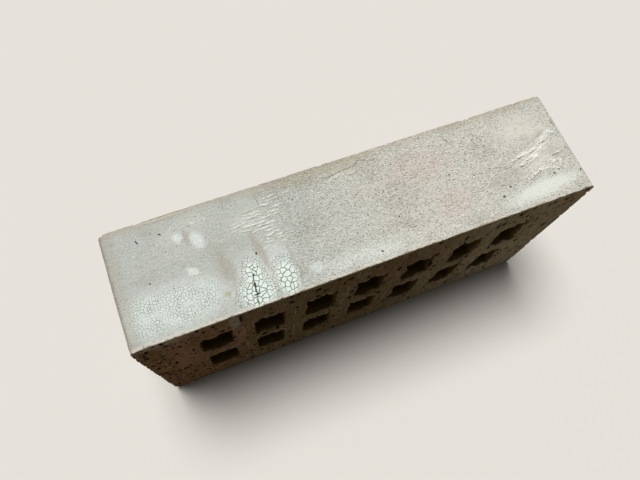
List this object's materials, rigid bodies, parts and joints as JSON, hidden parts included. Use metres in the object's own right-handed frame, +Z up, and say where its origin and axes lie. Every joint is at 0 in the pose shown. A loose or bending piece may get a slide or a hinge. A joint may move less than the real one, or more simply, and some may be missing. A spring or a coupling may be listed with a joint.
{
  "type": "clay brick",
  "caption": "Fired clay facing brick: a rectangular block with rounded corners, rows of oblong cores through its beds and a pale slip on its long face.",
  "frame": {"origin": "middle of the long face that the brick stands on", "axes": "+Z up, across the bed. X along the brick's length. Y from bed to bed, along the cores, with the bed seen in the picture at -Y"},
  "size_m": [0.21, 0.05, 0.105],
  "materials": {
    "fired_clay": "matt unglazed fired clay, with a pale slip on the faces and ends and bare wire-cut clay on the beds"
  },
  "bodies": {
    "root": {"brick": "fired_clay"}
  },
  "joints": []
}
